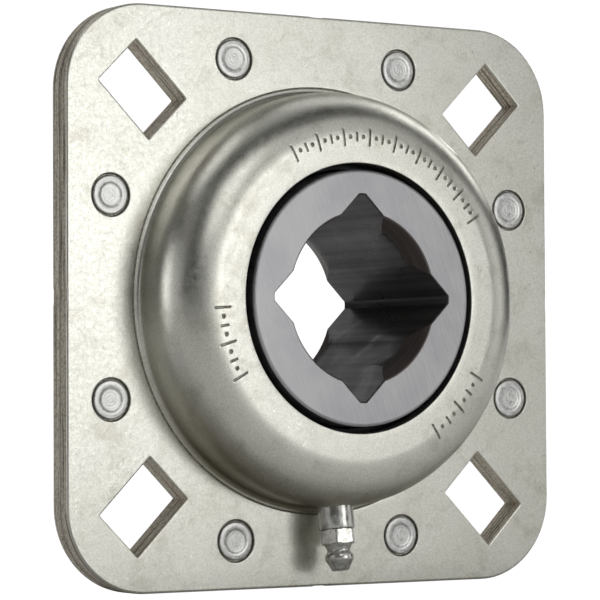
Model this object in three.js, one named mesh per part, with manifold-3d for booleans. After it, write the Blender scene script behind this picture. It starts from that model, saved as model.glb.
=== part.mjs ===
// Flange mount bearing: a square-bore ball bearing held between two riveted, pressed steel flangettes.
// Millimetres. The origin is the bearing's centre, on the plane where the two flangettes meet.
// +Y runs along the shaft to the rear, +Z is up, and the grease fitting hangs below the front hub.

import * as THREE from 'three';
import { mergeVertices } from 'three/addons/utils/BufferGeometryUtils.js';
import Module from 'manifold-3d';

const wasm = await Module();
wasm.setup();

// Flangettes. A depth is a distance from the mating plane, towards the front or the rear.
const FLANGE_HALF = 65.1;
const FLANGE_CORNER_R = 19.4;
const FLANGE_FACE_DEPTH = 3.3;
const MATING_GAP = 0.1;
const SHEAR_STEP_HALF = 1.5;
const SHEAR_STEP_DEPTH = 0.2;
const HUB_WALL_R = 47.06;
const HUB_ROOT_R = 48.3;
const HUB_SHOULDER_R = 11.19;
const HUB_FACE_DEPTH = 20.8;
const HUB_INSIDE_DEPTH = 17.6;
const HUB_OPENING_R = 30.28;
const HUB_OPENING_CHAMFER = 0.5;
const SEAT_SPHERE_R = 42.85;

// Bolt slots, long side towards the centre.
const SLOT_SPACING_HALF = 46.04;
const SLOT_LENGTH = 17.75;
const SLOT_WIDTH = 13.34;
const SLOT_CORNER_R = 0.3;

// Flange rivets and the dimples that they sit in.
const RIVET_COUNT = 8;
const RIVET_CIRCLE_R = 58.6;
const RIVET_SHANK_R = 2.8;
const RIVET_HOLE_R = 2.95;
const RIVET_HEAD_R = 4.3;
const RIVET_RIM_R = 2.95;
const RIVET_DISH_R = 2.6;
const RIVET_DISH_DEPTH = 0.22;
const DIMPLE_FLOOR_DEPTH = 2.55;
const DIMPLE_FLOOR_R = 4.5;
const DIMPLE_TOP_R = 4.85;

// Bearing insert.
const RING_HALF_LENGTH = 21.43;
const INNER_RING_R = 28.76;
const INNER_RACE_R = 26.05;
const OUTER_RING_SPHERE_R = 42.5;
const OUTER_RING_HALF_WIDTH = 15.1;
const OUTER_SHOULDER_R = 36.3;
const OUTER_RACE_R = 39.1;
const RACE_PROFILE_R = 6.6;
const RING_CHAMFER = 0.5;
const SEAL_RECESS_R = 38.3;
const SEAL_RECESS_DEPTH = 10.9;
const LUBE_GROOVE_DEPTH_Y = 9.6;
const LUBE_GROOVE_HALF = 1.5;
const LUBE_GROOVE_FLOOR_R = 40.1;
const LUBE_HOLE_R = 1.0;

// Square bore: the square stands on one corner, over a round pilot bore with a lead-in cone at each end.
const BORE_FLAT_HALF = 16.95;
const BORE_TIP_R = 23.15;
const BORE_PILOT_R = 17.5;
const BORE_LEAD_R = 19.2;
const BORE_LEAD_LENGTH = 5.5;

// Balls and riveted ribbon cage.
const BALL_COUNT = 9;
const BALL_R = 6.3;
const BALL_CIRCLE_R = 32.5;
const CAGE_INNER_R = 30.2;
const CAGE_OUTER_R = 34.8;
const CAGE_GAP = 0.1;
const CAGE_SHEET = 0.8;
const CAGE_POCKET_R = 6.95;
const CAGE_RIVET_R = 0.7;
const CAGE_RIVET_HOLE_R = 0.85;
const CAGE_RIVET_HEAD_R = 1.3;
const CAGE_RIVET_HEAD_HEIGHT = 0.5;

// Seals: a steel shield inboard, a rubber seal outboard.
const SEAL_OUTER_R = 38.1;
const SEAL_LIP_R = 29.1;
const SHIELD_INNER_R = 30.2;
const SHIELD_DEPTHS = [11.1, 12.0];
const SEAL_DEPTHS = [12.1, 14.5];

// Grease fitting. Stations are distances along its axis, outwards from the hub wall.
const FITTING_ORIGIN = [0, -9.4, -46.5];
const FITTING_TILT = THREE.MathUtils.degToRad(8.8);
const BOSS_R = 4.1;
const BOSS_HOLE_R = 4.2;
const BOSS_STATIONS = [-4.3, 5.55];
const STEM_R = 2.6;
const STEM_HOLE_R = 2.7;
const STEM_STATION = -1.0;
const HEX_HALF = 3.65;
const HEX_TURN = THREE.MathUtils.degToRad(36);
const HEX_STATIONS = [5.6, 8.85];
const FITTING_BORE_R = 1.05;
const FITTING_MOUTH_R = 0.6;
const FITTING_MOUTH_STATIONS = [13.45, 13.95];
const FITTING_TIP_STATION = 14.85;
const CHECK_BALL_R = 0.9;
const CHECK_BALL_STATION = 13.0;
const SPRING_COIL_R = 0.72;
const SPRING_WIRE_R = 0.14;
const SPRING_STATIONS = [8.75, 11.75];
const SPRING_TURNS = 3;

// Facets around the turned pieces.
const HUB_FACETS = 48;
const RING_FACETS = 32;
const SEAL_FACETS = 28;
const RIVET_FACETS = 12;
const FITTING_FACETS = 20;

const COLOURS = {
  plate: { color: 0xc3c1b8, roughness: 0.42, metalness: 0.85 },
  rivet: { color: 0xc9c9c4, roughness: 0.35, metalness: 0.9 },
  ring: { color: 0x8f9498, roughness: 0.3, metalness: 0.9 },
  ball: { color: 0xd8dadc, roughness: 0.12, metalness: 1.0 },
  cage: { color: 0xb59f78, roughness: 0.45, metalness: 0.8 },
  shield: { color: 0x9c9f9f, roughness: 0.4, metalness: 0.85 },
  rubber: { color: 0x17181a, roughness: 0.75, metalness: 0.0 },
  fitting: { color: 0xcfd0cc, roughness: 0.25, metalness: 0.95 },
};

// Points of an arc in a profile, angles in degrees from the outward radial direction.
function arc(radial, depth, radius, from, to, steps) {
  const points = [];
  for (let step = 0; step <= steps; step += 1) {
    const angle = THREE.MathUtils.degToRad(from + ((to - from) * step) / steps);
    points.push([radial + radius * Math.cos(angle), depth + radius * Math.sin(angle)]);
  }
  return points;
}

// A closed solid from a geometry: seams joined, collapsed triangles dropped, faces turned outwards.
function solid(geometry) {
  geometry.deleteAttribute('normal');
  geometry.deleteAttribute('uv');
  const merged = mergeVertices(geometry, 1e-4);
  const position = merged.getAttribute('position');
  const index = merged.getIndex().array;
  const corners = [0, 1, 2].map(() => new THREE.Vector3());
  const triangles = [];
  let volume = 0;
  for (let first = 0; first < index.length; first += 3) {
    const triangle = [index[first], index[first + 1], index[first + 2]];
    if (new Set(triangle).size === 3) {
      corners.forEach((corner, i) => corner.fromBufferAttribute(position, triangle[i]));
      volume += corners[0].dot(corners[1].cross(corners[2]));
      triangles.push(triangle);
    }
  }
  const outward = triangles.map(([a, b, c]) => (volume < 0 ? [a, c, b] : [a, b, c]));
  return new wasm.Manifold(new wasm.Mesh({
    numProp: 3,
    vertProperties: new Float32Array(position.array),
    triVerts: new Uint32Array(outward.flat()),
  }));
}

// A turned solid about the Y axis. Profile points are [radius, depth]; side -1 faces the front.
function turned(profile, segments, side = 1) {
  const points = profile.map(([radius, depth]) => new THREE.Vector2(radius, side * depth));
  return new THREE.LatheGeometry(points, segments);
}

// A turned ring, its profile a loop that does not reach the axis.
function turnedLoop(profile, segments, side = 1) {
  return turned([...profile, profile[0]], segments, side);
}

// A slab of a shape drawn in X and Z, between two depths on one side of the mating plane.
function slab(shape, near, far, side) {
  const geometry = new THREE.ExtrudeGeometry(shape, { depth: far - near, bevelEnabled: false });
  geometry.rotateX(Math.PI / 2);
  return geometry.translate(0, side < 0 ? -near : far, 0);
}

// Turns a geometry modelled along +Y onto the grease fitting's axis.
function ontoFittingAxis(geometry) {
  geometry.rotateX(-(Math.PI / 2 + FITTING_TILT));
  return geometry.translate(...FITTING_ORIGIN);
}

// Places around the Y axis, the first at an angle in degrees from +X towards +Z.
function aroundAxis(count, radius, firstDegrees) {
  return Array.from({ length: count }, (_, i) => {
    const angle = THREE.MathUtils.degToRad(firstDegrees + (360 * i) / count);
    return [radius * Math.cos(angle), radius * Math.sin(angle)];
  });
}

// A rectangle with rounded corners, centred, then turned and moved.
function roundedRectangle(length, width, cornerR, steps, turn, centre) {
  const points = [];
  [[1, 1], [-1, 1], [-1, -1], [1, -1]].forEach(([sx, sy], quarter) => {
    const start = 90 * quarter;
    arc(sx * (length / 2 - cornerR), sy * (width / 2 - cornerR), cornerR, start, start + 90, steps)
      .forEach(([x, y]) => points.push(new THREE.Vector2(x, y)));
  });
  const origin = new THREE.Vector2();
  points.forEach((point) => point.rotateAround(origin, turn).add(centre));
  return new THREE.Shape(points);
}

// Flange outline: a rounded square with a shallow shear step at the middle of each side.
function flangeOutline() {
  const origin = new THREE.Vector2();
  const inner = FLANGE_HALF - SHEAR_STEP_DEPTH;
  const outer = SHEAR_STEP_HALF + SHEAR_STEP_DEPTH;
  const cornerAt = FLANGE_HALF - FLANGE_CORNER_R;
  const side = [
    [FLANGE_HALF, -outer],
    [inner, -SHEAR_STEP_HALF],
    [inner, SHEAR_STEP_HALF],
    [FLANGE_HALF, outer],
    ...arc(cornerAt, cornerAt, FLANGE_CORNER_R, 0, 90, 6),
  ];
  const points = [0, 1, 2, 3].flatMap((quarter) => side.map(
    ([x, z]) => new THREE.Vector2(x, z).rotateAround(origin, (quarter * Math.PI) / 2),
  ));
  return new THREE.Shape(points);
}

// Outside of the pressed hub, from the flange's root fillet over the shoulder to the flat face.
function hubOutside() {
  const rootFillet = HUB_ROOT_R - HUB_WALL_R;
  const inPlate = FLANGE_FACE_DEPTH / 2;
  return [
    [0, inPlate],
    [HUB_ROOT_R, inPlate],
    ...arc(HUB_ROOT_R, FLANGE_FACE_DEPTH + rootFillet, rootFillet, 270, 180, 2),
    ...arc(HUB_WALL_R - HUB_SHOULDER_R, HUB_FACE_DEPTH - HUB_SHOULDER_R, HUB_SHOULDER_R, 0, 90, 5),
    [0, HUB_FACE_DEPTH],
  ];
}

// Space inside the hub: the spherical seat, the inside of the face and the round opening.
function hubInside() {
  const seatEnd = THREE.MathUtils.radToDeg(Math.asin(HUB_INSIDE_DEPTH / SEAT_SPHERE_R));
  const flare = HUB_OPENING_CHAMFER + 1;
  return [
    [0, -1],
    [SEAT_SPHERE_R, -1],
    ...arc(0, 0, SEAT_SPHERE_R, 0, seatEnd, 3),
    [HUB_OPENING_R, HUB_INSIDE_DEPTH],
    [HUB_OPENING_R, HUB_FACE_DEPTH - HUB_OPENING_CHAMFER],
    [HUB_OPENING_R + flare, HUB_FACE_DEPTH + 1],
    [0, HUB_FACE_DEPTH + 1],
  ];
}

// Rivet hole with the shallow dimple around the head.
function rivetHole() {
  const flare = (DIMPLE_TOP_R - DIMPLE_FLOOR_R) / (FLANGE_FACE_DEPTH - DIMPLE_FLOOR_DEPTH);
  return [
    [0, -1],
    [RIVET_HOLE_R, -1],
    [RIVET_HOLE_R, DIMPLE_FLOOR_DEPTH],
    [DIMPLE_FLOOR_R, DIMPLE_FLOOR_DEPTH],
    [DIMPLE_TOP_R + flare, FLANGE_FACE_DEPTH + 1],
    [0, FLANGE_FACE_DEPTH + 1],
  ];
}

function flangette(side) {
  const slotCentres = [[1, 1], [-1, 1], [-1, -1], [1, -1]];
  let body = solid(slab(flangeOutline(), MATING_GAP, FLANGE_FACE_DEPTH, side))
    .add(solid(turned(hubOutside(), HUB_FACETS, side)))
    .subtract(solid(turned(hubInside(), HUB_FACETS, side)));
  slotCentres.forEach(([sx, sz]) => {
    const centre = new THREE.Vector2(sx, sz).multiplyScalar(SLOT_SPACING_HALF);
    const turn = Math.atan2(sz, sx);
    const shape = roundedRectangle(SLOT_LENGTH, SLOT_WIDTH, SLOT_CORNER_R, 1, turn, centre);
    body = body.subtract(solid(slab(shape, -1, FLANGE_FACE_DEPTH + 1, side)));
  });
  aroundAxis(RIVET_COUNT, RIVET_CIRCLE_R, 22.5).forEach(([x, z]) => {
    body = body.subtract(solid(turned(rivetHole(), RIVET_FACETS, side).translate(x, 0, z)));
  });
  return body;
}

// Flange rivet: the shank, and on each side a head with a raised rim around a dished centre.
function rivet([x, z]) {
  const head = [
    [0, FLANGE_FACE_DEPTH - RIVET_DISH_DEPTH],
    [RIVET_DISH_R, FLANGE_FACE_DEPTH - RIVET_DISH_DEPTH],
    [RIVET_RIM_R, FLANGE_FACE_DEPTH],
    [RIVET_HEAD_R, FLANGE_FACE_DEPTH],
    [RIVET_HEAD_R, DIMPLE_FLOOR_DEPTH + 0.05],
    [RIVET_SHANK_R, DIMPLE_FLOOR_DEPTH + 0.05],
  ];
  const tail = head.map(([radius, depth]) => [radius, -depth]).reverse();
  return solid(turned([...head, ...tail], RIVET_FACETS).translate(x, 0, z));
}

function outerRing() {
  const raceCentre = OUTER_RACE_R - RACE_PROFILE_R;
  const raceHalf = THREE.MathUtils.radToDeg(Math.acos((OUTER_SHOULDER_R - raceCentre) / RACE_PROFILE_R));
  const onSphere = (depth) => [Math.sqrt(OUTER_RING_SPHERE_R ** 2 - depth ** 2), depth];
  const grooveEdges = [-LUBE_GROOVE_DEPTH_Y + LUBE_GROOVE_HALF, -LUBE_GROOVE_DEPTH_Y - LUBE_GROOVE_HALF];
  const edge = OUTER_RING_HALF_WIDTH - RING_CHAMFER;
  const endR = onSphere(OUTER_RING_HALF_WIDTH)[0] - RING_CHAMFER;
  const profile = [
    ...arc(raceCentre, 0, RACE_PROFILE_R, -raceHalf, raceHalf, 6),
    [OUTER_SHOULDER_R, SEAL_RECESS_DEPTH],
    [SEAL_RECESS_R, SEAL_RECESS_DEPTH],
    [SEAL_RECESS_R, OUTER_RING_HALF_WIDTH],
    [endR, OUTER_RING_HALF_WIDTH],
    ...[edge, 8, 0].map(onSphere),
    onSphere(grooveEdges[0]),
    [LUBE_GROOVE_FLOOR_R, grooveEdges[0]],
    [LUBE_GROOVE_FLOOR_R, grooveEdges[1]],
    onSphere(grooveEdges[1]),
    onSphere(-edge),
    [endR, -OUTER_RING_HALF_WIDTH],
    [SEAL_RECESS_R, -OUTER_RING_HALF_WIDTH],
    [SEAL_RECESS_R, -SEAL_RECESS_DEPTH],
    [OUTER_SHOULDER_R, -SEAL_RECESS_DEPTH],
  ];
  const hole = new THREE.CylinderGeometry(LUBE_HOLE_R, LUBE_HOLE_R, 8, 8);
  hole.rotateX(Math.PI / 2).translate(0, -LUBE_GROOVE_DEPTH_Y, -LUBE_GROOVE_FLOOR_R);
  return solid(turnedLoop(profile, RING_FACETS)).subtract(solid(hole));
}

// The square bore with its cut-off corners, the pilot bore and the lead-in cones.
function squareBore() {
  const length = RING_HALF_LENGTH + 1;
  const tipHalf = BORE_FLAT_HALF * Math.SQRT2 - BORE_TIP_R;
  const outline = [[1, 0], [0, 1], [-1, 0], [0, -1]].flatMap(([cx, cz]) => [
    new THREE.Vector2(cx * BORE_TIP_R + cz * tipHalf, cz * BORE_TIP_R - cx * tipHalf),
    new THREE.Vector2(cx * BORE_TIP_R - cz * tipHalf, cz * BORE_TIP_R + cx * tipHalf),
  ]);
  const flare = (BORE_LEAD_R - BORE_PILOT_R) / BORE_LEAD_LENGTH;
  const lead = [
    [BORE_PILOT_R, RING_HALF_LENGTH - BORE_LEAD_LENGTH],
    [BORE_LEAD_R + flare, length],
  ];
  const mouth = lead.map(([radius, depth]) => [radius, -depth]).reverse();
  const round = turned([[0, -length], ...mouth, ...lead, [0, length]], RING_FACETS);
  return solid(slab(new THREE.Shape(outline), -length, length, 1)).add(solid(round));
}

function innerRing() {
  const raceCentre = INNER_RACE_R + RACE_PROFILE_R;
  const raceHalf = THREE.MathUtils.radToDeg(Math.acos((raceCentre - INNER_RING_R) / RACE_PROFILE_R));
  const profile = [
    [0, -RING_HALF_LENGTH],
    [INNER_RING_R - RING_CHAMFER, -RING_HALF_LENGTH],
    [INNER_RING_R, RING_CHAMFER - RING_HALF_LENGTH],
    ...arc(raceCentre, 0, RACE_PROFILE_R, 180 + raceHalf, 180 - raceHalf, 6),
    [INNER_RING_R, RING_HALF_LENGTH - RING_CHAMFER],
    [INNER_RING_R - RING_CHAMFER, RING_HALF_LENGTH],
    [0, RING_HALF_LENGTH],
  ];
  return solid(turned(profile, RING_FACETS)).subtract(squareBore());
}

// One half of the ribbon cage: a flat ring that bends outwards around half of each ball.
function cageHalf(side) {
  const ring = turnedLoop([
    [CAGE_INNER_R, CAGE_GAP],
    [CAGE_OUTER_R, CAGE_GAP],
    [CAGE_OUTER_R, CAGE_GAP + CAGE_SHEET],
    [CAGE_INNER_R, CAGE_GAP + CAGE_SHEET],
  ], 2 * BALL_COUNT, side);
  const pocketTool = (radius, near, far, turn) => {
    const geometry = new THREE.CylinderGeometry(radius, radius, far - near, 8, 1);
    geometry.rotateY(Math.PI / 8).rotateZ(-Math.PI / 2).translate((near + far) / 2, 0, 0);
    return solid(geometry.rotateY(-turn));
  };
  const frontOrRear = solid(new THREE.BoxGeometry(4 * CAGE_OUTER_R, CAGE_OUTER_R, 4 * CAGE_OUTER_R)
    .translate(0, side * (CAGE_OUTER_R / 2 + CAGE_GAP), 0));
  const turns = Array.from({ length: BALL_COUNT }, (_, i) => Math.PI / 2 + (2 * Math.PI * i) / BALL_COUNT);
  const bends = turns.map((turn) => pocketTool(CAGE_POCKET_R + CAGE_SHEET, CAGE_INNER_R, CAGE_OUTER_R, turn));
  const pockets = turns.map((turn) => pocketTool(CAGE_POCKET_R, CAGE_INNER_R - 5, CAGE_OUTER_R + 5, turn));
  const holes = aroundAxis(BALL_COUNT, BALL_CIRCLE_R, 110).map(([x, z]) => {
    const hole = new THREE.CylinderGeometry(CAGE_RIVET_HOLE_R, CAGE_RIVET_HOLE_R, 4, 6);
    return solid(hole.translate(x, 0, z));
  });
  const whole = bends.reduce((sum, bend) => sum.add(bend), solid(ring)).intersect(frontOrRear);
  return [...pockets, ...holes].reduce((rest, tool) => rest.subtract(tool), whole);
}

function cageRivet([x, z]) {
  const face = CAGE_GAP + CAGE_SHEET + 0.02;
  const head = [
    [0, face + CAGE_RIVET_HEAD_HEIGHT],
    [CAGE_RIVET_HEAD_R, face],
    [CAGE_RIVET_R, face],
  ];
  const tail = head.map(([radius, depth]) => [radius, -depth]).reverse();
  return solid(turned([...head, ...tail], 6).translate(x, 0, z));
}

// Rubber seal: a flat web with an outboard rib, thinning to the lip that wipes the inner ring.
function seal(side) {
  const [near, far] = SEAL_DEPTHS;
  return solid(turnedLoop([
    [SEAL_LIP_R, near + 0.9],
    [SEAL_LIP_R + 1.5, near],
    [SEAL_OUTER_R, near],
    [SEAL_OUTER_R, far],
    [SEAL_OUTER_R - 2, far - 0.8],
    [SEAL_LIP_R + 3, far - 0.8],
    [SEAL_LIP_R, far - 0.2],
  ], SEAL_FACETS, side));
}

function shield(side) {
  const [near, far] = SHIELD_DEPTHS;
  return solid(turnedLoop([
    [SHIELD_INNER_R, near],
    [SEAL_OUTER_R, near],
    [SEAL_OUTER_R, far],
    [SHIELD_INNER_R, far],
  ], SEAL_FACETS, side));
}

function fittingBoss() {
  const [inner, outer] = BOSS_STATIONS;
  const seatCut = solid(new THREE.SphereGeometry(SEAT_SPHERE_R + 0.2, 48, 32));
  return solid(ontoFittingAxis(turnedLoop([
    [STEM_HOLE_R, inner],
    [BOSS_R, inner],
    [BOSS_R, outer - 0.4],
    [BOSS_R - 0.4, outer],
    [STEM_HOLE_R, outer],
  ], FITTING_FACETS))).subtract(seatCut);
}

// Grease fitting: threaded stem, hexagon, necked head and the passage that the check ball closes.
function greaseFitting() {
  const [hexStart, hexEnd] = HEX_STATIONS;
  const hexR = HEX_HALF / Math.cos(Math.PI / 6);
  const hexagon = new THREE.CylinderGeometry(hexR, hexR, hexEnd - hexStart, 6, 1, false, HEX_TURN);
  hexagon.translate(0, (hexStart + hexEnd) / 2, 0);
  const outside = [
    [0, STEM_STATION],
    [STEM_R, STEM_STATION],
    [STEM_R, hexEnd],
    [3.1, hexEnd + 0.02],
    [2.62, hexEnd + 1.3],
    [2.6, hexEnd + 1.8],
    [3.2, hexEnd + 2.6],
    [3.2, hexEnd + 3.6],
    [2.1, FITTING_TIP_STATION - 0.5],
    [1.7, FITTING_TIP_STATION],
    [0, FITTING_TIP_STATION],
  ];
  const passage = [
    [0, STEM_STATION - 1],
    [FITTING_BORE_R, STEM_STATION - 1],
    [FITTING_BORE_R, FITTING_MOUTH_STATIONS[0]],
    [FITTING_MOUTH_R, FITTING_MOUTH_STATIONS[1]],
    [FITTING_MOUTH_R, FITTING_TIP_STATION + 1],
    [0, FITTING_TIP_STATION + 1],
  ];
  return solid(ontoFittingAxis(turned(outside, FITTING_FACETS)))
    .add(solid(ontoFittingAxis(hexagon)))
    .subtract(solid(ontoFittingAxis(turned(passage, 10))));
}

// Coil of the check spring: a round wire swept along a helix.
class Helix extends THREE.Curve {
  getPoint(t, target = new THREE.Vector3()) {
    const [start, end] = SPRING_STATIONS;
    const angle = 2 * Math.PI * SPRING_TURNS * t;
    return target.set(SPRING_COIL_R * Math.cos(angle), start + (end - start) * t, SPRING_COIL_R * Math.sin(angle));
  }
}

function checkSpring() {
  const wire = new THREE.Shape(new THREE.EllipseCurve(0, 0, SPRING_WIRE_R, SPRING_WIRE_R).getPoints(4).slice(1));
  const settings = { steps: 8 * SPRING_TURNS, extrudePath: new Helix(), bevelEnabled: false };
  return solid(ontoFittingAxis(new THREE.ExtrudeGeometry(wire, settings)));
}

function fittingHole() {
  return solid(ontoFittingAxis(turned([[0, -6], [BOSS_HOLE_R, -6], [BOSS_HOLE_R, 4], [0, 4]], FITTING_FACETS)));
}

const group = new THREE.Group();

function place(name, body, look) {
  const mesh = body.getMesh();
  const geometry = new THREE.BufferGeometry();
  geometry.setAttribute('position', new THREE.BufferAttribute(new Float32Array(mesh.vertProperties), 3));
  geometry.setIndex([...mesh.triVerts]);
  const faceted = geometry.toNonIndexed();
  faceted.computeVertexNormals();
  const part = new THREE.Mesh(faceted, new THREE.MeshStandardMaterial(look));
  part.name = name;
  group.add(part);
}

place('front_flangette', flangette(-1).subtract(fittingHole()), COLOURS.plate);
place('rear_flangette', flangette(1), COLOURS.plate);
aroundAxis(RIVET_COUNT, RIVET_CIRCLE_R, 22.5).forEach((at, i) => {
  place(`flange_rivet_${i + 1}`, rivet(at), COLOURS.rivet);
});
place('fitting_boss', fittingBoss(), COLOURS.fitting);
place('grease_fitting', greaseFitting(), COLOURS.fitting);
const checkBall = new THREE.SphereGeometry(CHECK_BALL_R, 8, 6).translate(0, CHECK_BALL_STATION, 0);
place('fitting_check_ball', solid(ontoFittingAxis(checkBall)), COLOURS.ball);
place('fitting_check_spring', checkSpring(), COLOURS.ball);
place('outer_ring', outerRing(), COLOURS.ring);
place('inner_ring', innerRing(), COLOURS.ring);
aroundAxis(BALL_COUNT, BALL_CIRCLE_R, 90).forEach(([x, z], i) => {
  place(`ball_${i + 1}`, solid(new THREE.SphereGeometry(BALL_R, 10, 6).translate(x, 0, z)), COLOURS.ball);
});
place('cage_front_half', cageHalf(-1), COLOURS.cage);
place('cage_rear_half', cageHalf(1), COLOURS.cage);
aroundAxis(BALL_COUNT, BALL_CIRCLE_R, 110).forEach((at, i) => {
  place(`cage_rivet_${i + 1}`, cageRivet(at), COLOURS.cage);
});
place('front_seal', seal(-1), COLOURS.rubber);
place('rear_seal', seal(1), COLOURS.rubber);
place('front_seal_shield', shield(-1), COLOURS.shield);
place('rear_seal_shield', shield(1), COLOURS.shield);

export default group;
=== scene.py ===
# Looks of the flange mount bearing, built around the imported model. Shapes are drawn in millimetres.

import math

import bmesh
import bpy
import numpy as np
from mathutils import Matrix, Vector, noise
from mathutils.geometry import delaunay_2d_cdt


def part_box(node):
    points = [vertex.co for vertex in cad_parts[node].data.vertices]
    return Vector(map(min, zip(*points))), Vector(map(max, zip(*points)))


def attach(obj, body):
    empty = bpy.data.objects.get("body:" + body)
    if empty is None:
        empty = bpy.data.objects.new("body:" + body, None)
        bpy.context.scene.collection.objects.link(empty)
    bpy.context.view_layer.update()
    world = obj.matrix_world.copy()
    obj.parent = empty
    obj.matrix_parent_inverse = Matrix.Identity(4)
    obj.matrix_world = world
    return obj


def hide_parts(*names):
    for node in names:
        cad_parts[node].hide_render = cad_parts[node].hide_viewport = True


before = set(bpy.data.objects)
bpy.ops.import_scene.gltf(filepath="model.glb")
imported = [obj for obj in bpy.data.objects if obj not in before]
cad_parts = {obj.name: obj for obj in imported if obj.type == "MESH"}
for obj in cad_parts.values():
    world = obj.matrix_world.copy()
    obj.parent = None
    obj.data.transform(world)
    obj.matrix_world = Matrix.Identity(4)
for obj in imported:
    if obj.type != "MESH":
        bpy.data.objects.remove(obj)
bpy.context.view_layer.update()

MM = 0.001
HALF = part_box("front_flangette")[1][0] / MM
FACE = 3.3
MATING = 0.1
CORNER_R = 19.4
RING_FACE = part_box("inner_ring")[1][1] / MM
HUB_FACE = -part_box("front_flangette")[0][1] / MM
HUB_INSIDE = HUB_FACE - 3.2
SLOT_LONG, SLOT_SHORT, SLOT_REACH, SLOT_CORNER = 17.75, 13.34, 46.04 * math.sqrt(2), 0.25
SLOT_ROLL, OUTLINE_ROLL = 0.46, 0.62
OPENING_R = 30.28
SEAT_R = 42.85
FITTING_ORIGIN = Vector((0, -9.4, -46.5))
FITTING_TILT = math.radians(8.8)


# ---------------------------------------------------------------- mesh helpers

def arc(cr, cy, radius, start, end, steps):
    """Points of a profile arc; angles in degrees from the radial direction."""
    out = []
    for i in range(steps + 1):
        a = math.radians(start + (end - start) * i / steps)
        out.append((cr + radius * math.cos(a), cy + radius * math.sin(a)))
    return out


def circle(radius, count, centre=(0, 0)):
    t = np.linspace(0, 2 * math.pi, count, endpoint=False)
    return np.column_stack([centre[0] + radius * np.cos(t), centre[1] + radius * np.sin(t)])


class Builder:
    """Collects loops of vertices and faces of one piece, in millimetres."""

    def __init__(self):
        self.verts = []
        self.faces = []
        self.slots = []

    def add(self, points):
        start = len(self.verts)
        self.verts.extend([tuple(p) for p in points])
        return list(range(start, start + len(points)))

    def bridge(self, a, b, slot=0):
        n = len(a)
        for i in range(n):
            j = (i + 1) % n
            self.faces.append((a[i], a[j], b[j], b[i]))
            self.slots.append(slot)

    def cap(self, loop, slot=0):
        self.faces.append(tuple(loop))
        self.slots.append(slot)

    def skin(self, loops, slot=0, closed=False):
        ids = [self.add(loop) for loop in loops]
        for a, b in zip(ids, ids[1:]):
            self.bridge(a, b, slot)
        if closed:
            self.bridge(ids[-1], ids[0], slot)
        return ids

    def make(self, name, materials, body, nodes, sharp=35, place=None, merge=0.002):
        mesh = bpy.data.meshes.new(name)
        mesh.from_pydata([Vector(v) * MM for v in self.verts], [], self.faces)
        for material in materials:
            mesh.materials.append(material)
        mesh.polygons.foreach_set("material_index", self.slots)
        bm = bmesh.new()
        bm.from_mesh(mesh)
        bmesh.ops.remove_doubles(bm, verts=bm.verts, dist=merge * MM)
        bmesh.ops.dissolve_degenerate(bm, edges=bm.edges, dist=1e-7)
        bmesh.ops.recalc_face_normals(bm, faces=bm.faces)
        limit = math.radians(sharp)
        for face in bm.faces:
            face.smooth = True
        for edge in bm.edges:
            edge.smooth = not (edge.is_manifold and edge.calc_face_angle(0) > limit)
        bm.to_mesh(mesh)
        bm.free()
        piece = bpy.data.objects.new(name, mesh)
        bpy.context.scene.collection.objects.link(piece)
        if place is not None:
            piece.matrix_world = place
            bpy.context.view_layer.update()
        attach(piece, body)
        if nodes:
            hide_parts(*nodes)
        return piece


def revolve_loops(profile, count):
    """Loops of a profile of (radius, y) turned about Y."""
    t = np.linspace(0, 2 * math.pi, count, endpoint=False)
    c, s = np.cos(t), np.sin(t)
    return [np.column_stack([r * c, np.full(count, y), r * s]) for r, y in profile]


# ---------------------------------------------------------------- outlines

def rounded_square(inset):
    """Flange outline, set in by an amount, with its shear steps fading out with the inset."""
    half = HALF - inset
    radius = CORNER_R - inset
    step = 0.15 * max(0.0, 1 - inset / 0.4)
    straight = np.linspace(2.0, half - radius, 13)[1:-1]
    side = [(half, -z) for z in reversed(straight)]
    side += [(half, -2.0), (half - step * 0.9, -1.6), (half - step, -1.3), (half - step, 1.2),
             (half - step * 0.8, 1.5), (half, 2.0)]
    side += [(half, z) for z in straight]
    side += arc(half - radius, half - radius, radius, 0, 90, 24)
    out = []
    for q in range(4):
        c, s = math.cos(q * math.pi / 2), math.sin(q * math.pi / 2)
        out += [(x * c - z * s, x * s + z * c) for x, z in side]
    return np.array(out)


def slot_outline(index, offset):
    """One bolt slot, grown by an offset. Its long side points at the centre."""
    hx, hy, r = SLOT_LONG / 2 + offset, SLOT_SHORT / 2 + offset, SLOT_CORNER + offset
    pts = []
    for q, (sx, sy) in enumerate([(1, 1), (-1, 1), (-1, -1), (1, -1)]):
        pts += arc(sx * (hx - r), sy * (hy - r), r, 90 * q, 90 * q + 90, 5)
    pts = np.array(pts)
    a = math.radians(45 + 90 * index)
    rot = np.array([[math.cos(a), -math.sin(a)], [math.sin(a), math.cos(a)]])
    return pts @ rot.T + SLOT_REACH * np.array([math.cos(a), math.sin(a)])


RIVETS = [(58.6 * math.cos(math.radians(22.5 + 45 * i)), 58.6 * math.sin(math.radians(22.5 + 45 * i)))
          for i in range(8)]


def box_distance(p, centre, angle, hx, hy, r):
    """Signed distance of points to a rounded rectangle."""
    d = p - np.array(centre)
    c, s = math.cos(angle), math.sin(angle)
    u = np.abs(d[:, 0] * c + d[:, 1] * s) - (hx - r)
    v = np.abs(-d[:, 0] * s + d[:, 1] * c) - (hy - r)
    outside = np.hypot(np.maximum(u, 0), np.maximum(v, 0))
    return outside + np.minimum(np.maximum(u, v), 0) - r


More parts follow.
